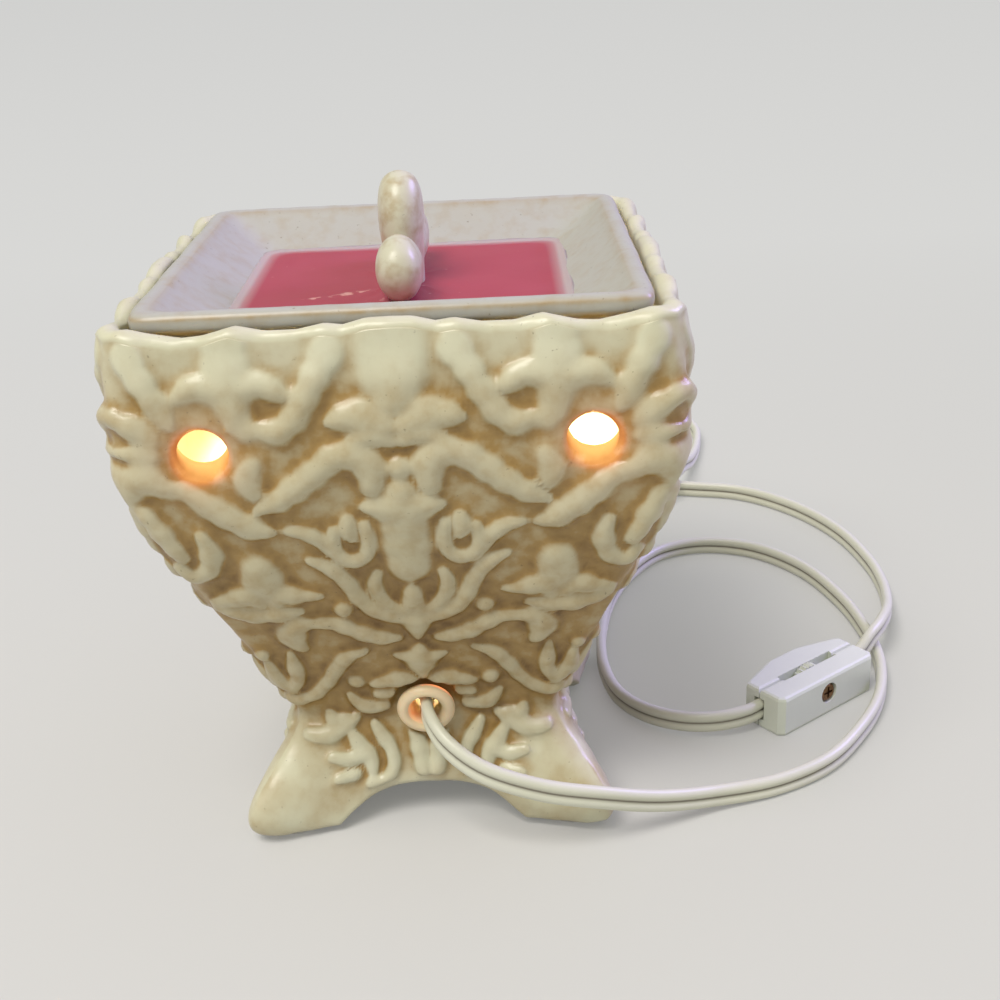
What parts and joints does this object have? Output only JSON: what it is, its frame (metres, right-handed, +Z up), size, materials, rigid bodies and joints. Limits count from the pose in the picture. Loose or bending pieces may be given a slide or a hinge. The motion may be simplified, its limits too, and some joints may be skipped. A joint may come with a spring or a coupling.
{
  "type": "electric wax warmer",
  "caption": "Square bombe ceramic wax warmer on splayed feet, with a lift-off handled dish over a screw-in bulb, and a flat lead with an inline thumb-wheel switch and plug.",
  "frame": {"origin": "centre of the warmer's footprint on the table, without the lead and what is on it", "axes": "+Z up, the face with the lead looks along -Y, X across that face"},
  "size_m": [0.2339, 0.3205, 0.1585],
  "materials": {
    "glazed_ceramic": "cream glaze with a tan wash in the recesses",
    "wax": "set scented wax, smooth",
    "pad_rubber": "matt",
    "phenolic": "moulded, satin",
    "fibre": "matt pressed fibre",
    "brass": "bright",
    "steel": "zinc plated",
    "bulb_glass": "clear",
    "white_pvc": "satin flexible insulation",
    "black_pvc": "satin flexible insulation",
    "white_case": "moulded, satin"
  },
  "bodies": {
    "warmer": {"body_shell": "glazed_ceramic", "foot_pad_front_left": "pad_rubber", "foot_pad_front_right": "pad_rubber", "foot_pad_rear_left": "pad_rubber", "foot_pad_rear_right": "pad_rubber", "stem_gasket": "fibre", "stem_washer": "steel", "stem_nut": "brass", "lampholder_stem": "brass", "lampholder_cap": "phenolic", "lampholder_body": "phenolic", "centre_contact": "brass", "terminal_screw_line": "steel", "terminal_screw_neutral": "steel", "socket_screw_shell": "brass", "cord_gland": "white_pvc", "cord_to_switch": "white_pvc", "cord_to_coil": "white_pvc", "cord_to_plug": "white_pvc", "cord_coil": "white_pvc", "lead_line": "black_pvc", "lead_neutral": "white_pvc", "coil_tie": "black_pvc", "switch_case_front": "white_case", "switch_case_rear": "white_case", "switch_screw": "steel", "switch_nut": "steel", "switch_contact_in": "brass", "switch_contact_out": "brass", "plug_body": "white_pvc", "plug_blade_line": "brass", "plug_blade_neutral": "brass"},
    "dish": {"wax_dish": "glazed_ceramic", "wax_pool": "wax"},
    "thumb_wheel": {"switch_wheel": "white_case"},
    "bulb_carriage": {"bulb_cap_insulator": "fibre", "bulb_tip": "steel"},
    "bulb": {"bulb_glass": "bulb_glass", "bulb_cap": "brass", "bulb_mount": "bulb_glass", "bulb_filament": "steel"}
  },
  "joints": [
    {"name": "dish_lift", "type": "slide", "parent": "warmer", "child": "dish", "axis": [0, 0, 1], "range_m": [0, 0.06]},
    {"name": "switch_wheel_turn", "type": "hinge", "parent": "warmer", "child": "thumb_wheel", "pos_m": [0.1056, 0.0116, 0.0068], "axis": [-0.6074, 0.7944, 0], "continuous": true},
    {"name": "bulb_lift", "type": "slide", "parent": "warmer", "child": "bulb_carriage", "axis": [0, 0, 1], "range_m": [0, 0.00763]},
    {"name": "bulb_turn", "type": "hinge", "parent": "bulb_carriage", "child": "bulb", "pos_m": [0, 0, 0.05], "axis": [0, 0, 1], "range_deg": [0, 1080]}
  ],
  "couplings": [
    {"joint": "bulb_lift", "follows": "bulb_turn", "m_per_rad": 0.00040425}
  ]
}
